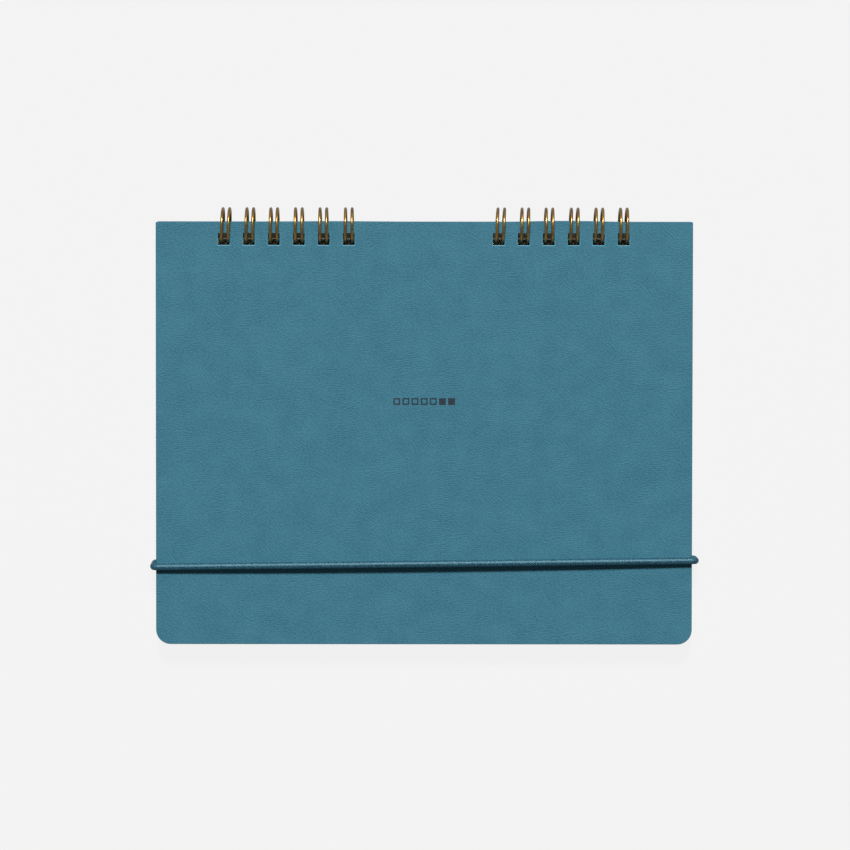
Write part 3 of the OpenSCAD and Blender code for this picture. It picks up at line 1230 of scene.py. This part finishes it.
@dataclass
class BindingWire(Piece):
    """One run of wire bent into twin loops, each leaning a little its own way."""

    node: str
    side: int
    binding: Binding
    back_shift: tuple[float, ...]
    front_shift: tuple[float, ...]
    body: str = "page_stack"
    foot_angle: float = 161.0
    tip_angle: float = 190.0
    foot_r: float = 0.75 * MM
    stub_l: float = 1.2 * MM
    # Where the wire's painted shade begins, measured from the axis towards the free edge.
    painted_shade_from_axis: float = 5.9 * MM
    sides: int = 14
    leg_steps: int = 60
    tip_steps: int = 12
    foot_steps: int = 6

    def on_loop(self, angle: float, x: float, ahead: float) -> Vector:
        """Finds a point beside a loop.

        Args:
            angle: Angle round the loop in degrees, from its +Y side upwards.
            x: Distance from the loop's middle along the binding.
            ahead: Distance from the loop along its tangent, with the angle growing.

        Returns:
            The point, measured from the loop's middle on the axis.
        """
        a = math.radians(angle)
        r = self.binding.loop_r
        return Vector((x, r * math.cos(a) - ahead * math.sin(a),
                       r * math.sin(a) + ahead * math.cos(a)))

    def foot(self, side: int) -> list[Vector]:
        """Lists the quarter bend from a leg's end out to the link beside it.

        Args:
            side: -1 for the left leg and 1 for the right one.

        Returns:
            The points, from the leg outwards.
        """
        leg = side * self.binding.leg_gap / 2
        turns = [math.radians(90 * i / self.foot_steps) for i in range(self.foot_steps + 1)]
        return [self.on_loop(self.foot_angle, leg + side * self.foot_r * (1 - math.cos(t)),
                             self.foot_r * math.sin(t)) for t in turns]

    def leg(self, side: int) -> list[Vector]:
        """Lists one leg from its foot round the loop to the tip.

        Args:
            side: -1 for the left leg and 1 for the right one.

        Returns:
            The points between the foot's and the tip's.
        """
        leg = side * self.binding.leg_gap / 2
        step = (self.tip_angle - 360 - self.foot_angle) / self.leg_steps
        return [self.on_loop(self.foot_angle + step * i, leg, 0.0)
                for i in range(1, self.leg_steps)]

    def tip(self) -> list[Vector]:
        """Lists the rounded tip that joins the two legs.

        Returns:
            The points, from the left leg to the right one.
        """
        r = self.binding.leg_gap / 2
        turns = [math.radians(180 * i / self.tip_steps) for i in range(self.tip_steps + 1)]
        return [self.on_loop(self.tip_angle, -r * math.cos(t), -r * math.sin(t)) for t in turns]

    def loop(self, number: int, middle: float) -> list[Vector]:
        """Lists one whole twin loop from left to right, leaning as its shifts say.

        Args:
            number: The loop's number from the left.
            middle: Place of the loop's middle along X.

        Returns:
            The loop's points in the calendar's frame.
        """
        left = self.foot(-1)[::-1] + self.leg(-1)
        right = self.leg(1)[::-1] + self.foot(1)
        reach = self.binding.loop_r
        placed = []
        for point in left + self.tip() + right:
            share = (point.y / reach + 1) / 2
            lean = self.front_shift[number] * (1 - share) + self.back_shift[number] * share
            placed.append(Vector((middle + lean + point.x, self.binding.axis_y + point.y,
                                  self.binding.axis_z + point.z)))
        return placed

    def path(self) -> list[Vector]:
        """Lists the whole run, from one cut end to the other.

        Returns:
            The points, from left to right.
        """
        points = [p for i, x in enumerate(self.binding.places(self.side)) for p in self.loop(i, x)]
        stub = Vector((self.stub_l, 0.0, 0.0))
        return [points[0] - stub, *points, points[-1] + stub]

    def build(self) -> Object:
        """Bends, dresses and hangs the wire.

        Returns:
            The finished piece.
        """
        # The finish paints shade on the wire where its loops run down into the holes.
        finish = BronzeWire(painted_shade_y=self.binding.axis_y - self.painted_shade_from_axis)
        made = sweep_tree().run(path_object(self.path()), self.node + "_bent", {
            "Radius": self.binding.wire_d / 2, "Sides": self.sides, "Finish": finish.material()})
        smooth_sides(made)
        return self.hang(made, "wire")


@dataclass
class ElasticBand(Piece):
    """The braided elastic: over the front cover, round both sides and back beneath."""

    node: str = "elastic_band"
    body: str = "page_stack"
    cord_d: float = 2.35 * MM
    front_left: float = 26.0 * MM
    front_right: float = 28.3 * MM
    back_left: float = 26.9 * MM
    back_right: float = 28.4 * MM
    lift: float = 0.8 * MM
    turn_r: float = 1.4 * MM
    left_press: float = 0.3 * MM
    ends_gap: float = 0.1 * MM
    sink: float = 1.1 * MM
    clamp_l: float = 9 * MM
    clamp_lip: float = 0.5 * MM
    squeeze: float = 0.6
    sides: int = 28
    step: float = 0.21 * MM
    lay: float = 7.4 * MM
    relief: float = 0.075 * MM
    turn_steps: int = 8
    back_steps: int = 12
    front_steps: int = 60

    def __post_init__(self) -> None:
        """Reads the band's place from its own box and the front cover's."""
        low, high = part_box(self.node)
        cord_r = self.cord_d / 2
        self.side_x = high[0] - cord_r
        self.back_z = low[2] + cord_r
        self.front_z = high[2] - self.lift - cord_r
        self.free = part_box("front_cover")[0][1]

    def at(self, x: float, z: float) -> Vector:
        """Finds the band's middle at a place along X and a height.

        Args:
            x: Place along X.
            z: Height.

        Returns:
            The point.
        """
        t = (x / self.side_x + 1) / 2
        front = self.front_left + (self.front_right - self.front_left) * t
        back = self.back_left + (self.back_right - self.back_left) * t
        up = min(1.0, (z - self.back_z) / (self.front_z - self.back_z))
        return Vector((x, self.free + back + (front - back) * up, z))

    def turn(self, side: int, up: int, start: float) -> list[Vector]:
        """Lists the quarter turn at one side, over or under, clockwise from an angle.

        Args:
            side: -1 for the left side and 1 for the right one.
            up: 1 for the upper turn and -1 for the lower one.
            start: Angle of the first point, in degrees.

        Returns:
            The points.
        """
        run = self.side_x - self.turn_r
        middle_z = self.front_z - self.turn_r if up > 0 else self.back_z + self.turn_r
        steps = self.turn_steps
        turns = [math.radians(start - 90 * i / steps) for i in range(steps + 1)]
        press = self.left_press if side < 0 else 0.0
        return [self.at(side * run + press + self.turn_r * math.cos(a),
                        middle_z + self.turn_r * math.sin(a)) for a in turns]

    def path(self) -> tuple[list[Vector], list[float]]:
        """Lists the band's route from inside the clamp round to it, with its thickness.

        Returns:
            The points, and the cord's share of its full thickness at each.
        """
        run = self.side_x - self.turn_r
        held, free = self.clamp_l / 2, self.clamp_l / 2 + self.clamp_lip
        half = [free + (run - free) * i / self.back_steps for i in range(self.back_steps)]
        start = [self.ends_gap / 2, held, *half]
        points = [self.at(-x, self.back_z) for x in start]
        points += self.turn(-1, -1, 270) + self.turn(-1, 1, 180)
        across = [run * (2 * i / self.front_steps - 1) for i in range(1, self.front_steps)]
        points += [self.at(x, self.front_z + self.lift * (1 - (x / run) ** 2)) for x in across]
        points += self.turn(1, 1, 90) + self.turn(1, -1, 0)
        points += [self.at(x, self.back_z) for x in start[::-1]]
        full = len(points) - 4
        return points, [self.squeeze, self.squeeze, *[1.0] * full, self.squeeze, self.squeeze]

    def map_braid(self, mesh: bpy.types.Mesh, uv: str) -> None:
        """Writes the stored place along and around the cord to a UV map.

        Args:
            mesh: The swept cord.
            uv: Name of the UV map.
        """
        spots = np.empty(len(mesh.loops), dtype=np.int32)
        mesh.loops.foreach_get("vertex_index", spots)
        columns = []
        for label in ("along", "around"):
            stored = np.empty(len(mesh.vertices), dtype=np.float32)
            mesh.attributes[label].data.foreach_get("value", stored)
            columns.append(stored[spots])
        along, around = columns
        for face in mesh.polygons:
            own = slice(face.loop_start, face.loop_start + face.loop_total)
            # A face across the seam runs on past 1, where it would jump back to 0.
            if np.ptp(around[own]) > 0.5:
                around[own] = np.where(around[own] < 0.5, around[own] + 1, around[own])
        layer = mesh.uv_layers.new(name=uv)
        layer.data.foreach_set("uv", np.stack([along, around], axis=1).ravel())

    def build(self) -> Object:
        """Braids, dresses and lays the band.

        Returns:
            The finished piece.
        """
        points, radii = self.path()
        finish = BraidedElastic()
        made = braid_tree().run(path_object(points, radii), "elastic_cord", {
            "Radius": self.cord_d / 2, "Sides": self.sides, "Step": self.step,
            "Strands": float(finish.strands), "Lay": self.lay, "Relief": self.relief,
            "Finish": finish.material()})
        self.map_braid(made.data, finish.uv)
        smooth_sides(made)
        self.hang(made, "band")
        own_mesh(made)
        return made


@dataclass
class BandClamp(Piece):
    """The flattened metal sleeve on the back run, crimped over the elastic's ends."""

    node: str = "band_clamp"
    body: str = "page_stack"
    bore: float = 0.68 * MM
    lip_r: float = 0.25 * MM
    crimp_at: float = 2.1 * MM
    crimp_half: float = 0.9 * MM
    crimp_depth: float = 0.28 * MM
    around: int = 32
    lip_steps: int = 4
    flat_steps: int = 32

    def __post_init__(self) -> None:
        """Reads the sleeve's place and size from its CAD node."""
        low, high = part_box(self.node)
        self.middle = (low + high) / 2
        self.half = (high - low) / 2

    def ring(self, x: float, back: float) -> list[tuple[float, float, float]]:
        """Lists the sleeve's flattened section at one place, drawn in by a distance.

        Args:
            x: Place along X.
            back: The distance.

        Returns:
            The section's points.
        """
        y, z = self.middle[1], self.middle[2]
        half_y, half_z = self.half[1], self.half[2]
        press = max(0.0, 1 - ((abs(x) - self.crimp_at) / self.crimp_half) ** 2)
        points = []
        for i in range(self.around):
            a = 2 * math.pi * i / self.around
            dy = half_z * math.cos(a) + math.copysign(half_y - half_z, math.cos(a))
            dz = half_z * math.sin(a) * (1 - self.crimp_depth * press / half_z)
            thin = 1 - back / half_z
            points.append((x, y + dy * thin, z + dz * thin))
        return points

    def build(self) -> Object:
        """Forms, dresses and places the sleeve.

        Returns:
            The finished piece.
        """
        half, y, z = self.half[0], self.middle[1], self.middle[2]
        lip = [math.radians(90 * i / self.lip_steps) for i in range(self.lip_steps + 1)]
        starts = [(-half + self.lip_r * (1 - math.sin(a)), self.lip_r * (1 - math.cos(a)))
                  for a in reversed(lip)]
        flat = half - self.lip_r
        steps = self.flat_steps
        places = starts + [(-flat + 2 * flat * i / steps, 0.0) for i in range(1, steps)]
        places += [(-x, back) for x, back in reversed(starts)]
        sleeve = SheetMesh()
        corner = sleeve.mesh.verts.new
        rings = [[corner(p) for p in self.ring(x, back)] for x, back in places]
        turns = [2 * math.pi * i / self.around for i in range(self.around)]
        rings += [[corner((x, y + self.bore * math.cos(a), z + self.bore * math.sin(a)))
                   for a in turns] for x in (half, -half)]
        for i, ring in enumerate(rings):
            sleeve.wall(ring, rings[(i + 1) % len(rings)], 0)
        made = sleeve.finish("clamp_sleeve", [BronzeWire().material()])
        return self.hang(made, "clamp")


@dataclass
class Studio:
    """The pale floor, the lamps and the camera straight above the calendar."""

    aim: Vector = Vector((0.25 * MM, 0.22 * MM, 9.3 * MM))
    distance: float = 1.1907
    tilt: float = math.radians(1.78)
    roll: float = math.radians(0.06)
    seen_width: float = 0.2883
    sensor: float = 36.0
    clip: tuple[float, float] = (0.05, 20.0)
    key_distance: float = 6.0
    key_height: float = math.radians(50.5)
    key_size: float = 1.1
    key_share: float = 0.9
    world_share: float = 0.1
    backdrop: str = "#f3f3f3"
    horizon: float = 0.7
    overhead: float = 0.29
    dims_from: float = 0.05
    dims_to: float = 0.45
    floor_half: float = 3.0

    def camera(self) -> None:
        """Hangs the camera over the calendar, tipped a little towards the binding."""
        data = bpy.data.cameras.new("camera")
        data.sensor_width = self.sensor
        data.lens = self.sensor * self.distance / self.seen_width
        data.clip_start, data.clip_end = self.clip
        made = set_out("camera", data)
        made.location = self.aim + self.distance * Vector((0, math.sin(self.tilt),
                                                           math.cos(self.tilt)))
        made.rotation_euler = (-self.tilt, 0, self.roll)
        bpy.context.scene.camera = made

    def key(self) -> None:
        """Hangs the main lamp beyond the binding, so that shadows fall to the free edge."""
        data = bpy.data.lights.new("key", "AREA")
        data.shape = "DISK"
        data.size = self.key_size
        slope = math.sin(self.key_height)
        # With this energy a white floor shines at key_share of full white.
        data.energy = self.key_share * math.pi ** 2 * self.key_distance ** 2 / slope
        made = set_out("key", data)
        towards = Vector((0, math.cos(self.key_height), slope))
        made.location = towards * self.key_distance
        made.rotation_euler = towards.to_track_quat("Z", "Y").to_euler()

    def world(self) -> None:
        """Lights the room evenly and shows pictures and gloss a pale backdrop.

        The backdrop is at its written tone. In gloss it dims overhead, as a dark ceiling
        does.
        """
        made = bpy.data.worlds.new("room")
        made.use_nodes = True
        graph = Graph(made.node_tree)
        nodes = made.node_tree.nodes
        room = nodes["Background"]
        room.inputs["Color"].default_value = (1.0, 1.0, 1.0, 1.0)
        room.inputs["Strength"].default_value = self.world_share
        height = graph.parts(graph.node("ShaderNodeTexCoord").outputs["Generated"])[2]
        above = graph.spread(height, self.dims_from, self.dims_to, self.horizon, self.overhead)
        gloss = graph.node("ShaderNodeLightPath").outputs["Is Glossy Ray"]
        lost = graph.math("MULTIPLY", gloss, graph.math("SUBTRACT", 1.0, above))
        strength = graph.math("SUBTRACT", 1.0, lost)
        backdrop = graph.fed("ShaderNodeBackground", {"Color": linear(self.backdrop),
                                                      "Strength": strength})
        mixed = graph.fed("ShaderNodeMixShader", {0: seen_directly(graph), 1: room.outputs[0],
                                                  2: backdrop.outputs[0]})
        graph.feed(nodes["World Output"].inputs["Surface"], mixed.outputs[0])
        bpy.context.scene.world = made

    def floor(self) -> None:
        """Lays the floor that the calendar rests on."""
        data = bpy.data.meshes.new("floor")
        corners = [(x * self.floor_half, y * self.floor_half, 0)
                   for x, y in ((-1, -1), (1, -1), (1, 1), (-1, 1))]
        data.from_pydata(corners, [], [(0, 1, 2, 3)])
        data.materials.append(StudioFloor().material())
        set_out("floor", data)

    def build(self) -> None:
        """Sets up the camera, the lamps, the room and the floor."""
        self.camera()
        self.key()
        self.world()
        self.floor()
        bpy.context.scene.view_settings.view_transform = "Standard"


def main() -> None:
    """Builds the studio and every piece of the calendar, and reports each one."""
    logging.basicConfig(level=logging.INFO, format="%(name)s: %(message)s")
    Studio().build()
    binding = Binding()
    left_back = (0.58, 0.22, -0.13, -0.22, -0.39, -0.22)
    left_front = (0.14, 0.01, -0.17, -0.17, -0.3, -0.15)
    right_back = (0.7, 0.4, 0.09, 0.18, 0.1, -0.08)
    right_front = (-0.03, 0.01, -0.13, -0.22, -0.3, -0.3)
    parts = [
        Cover("front_cover", "front", binding, outside_up=True, marked=True,
              wave_height=0.33 * MM, left_drop=0.13 * MM),
        Cover("back_cover", "back", binding, outside_up=False, wave_height=0.12 * MM,
              wave_middle=-30 * MM),
        PageStack(binding),
        BindingWire("wire_left", -1, binding, tuple(s * MM for s in left_back),
                    tuple(s * MM for s in left_front)),
        BindingWire("wire_right", 1, binding, tuple(s * MM for s in right_back),
                    tuple(s * MM for s in right_front)),
        ElasticBand(),
        BandClamp(),
    ]
    for part in parts:
        made = part.build()
        log.info("%s: %d faces", made.name, len(made.data.polygons))


if __name__ == "__main__":
    main()
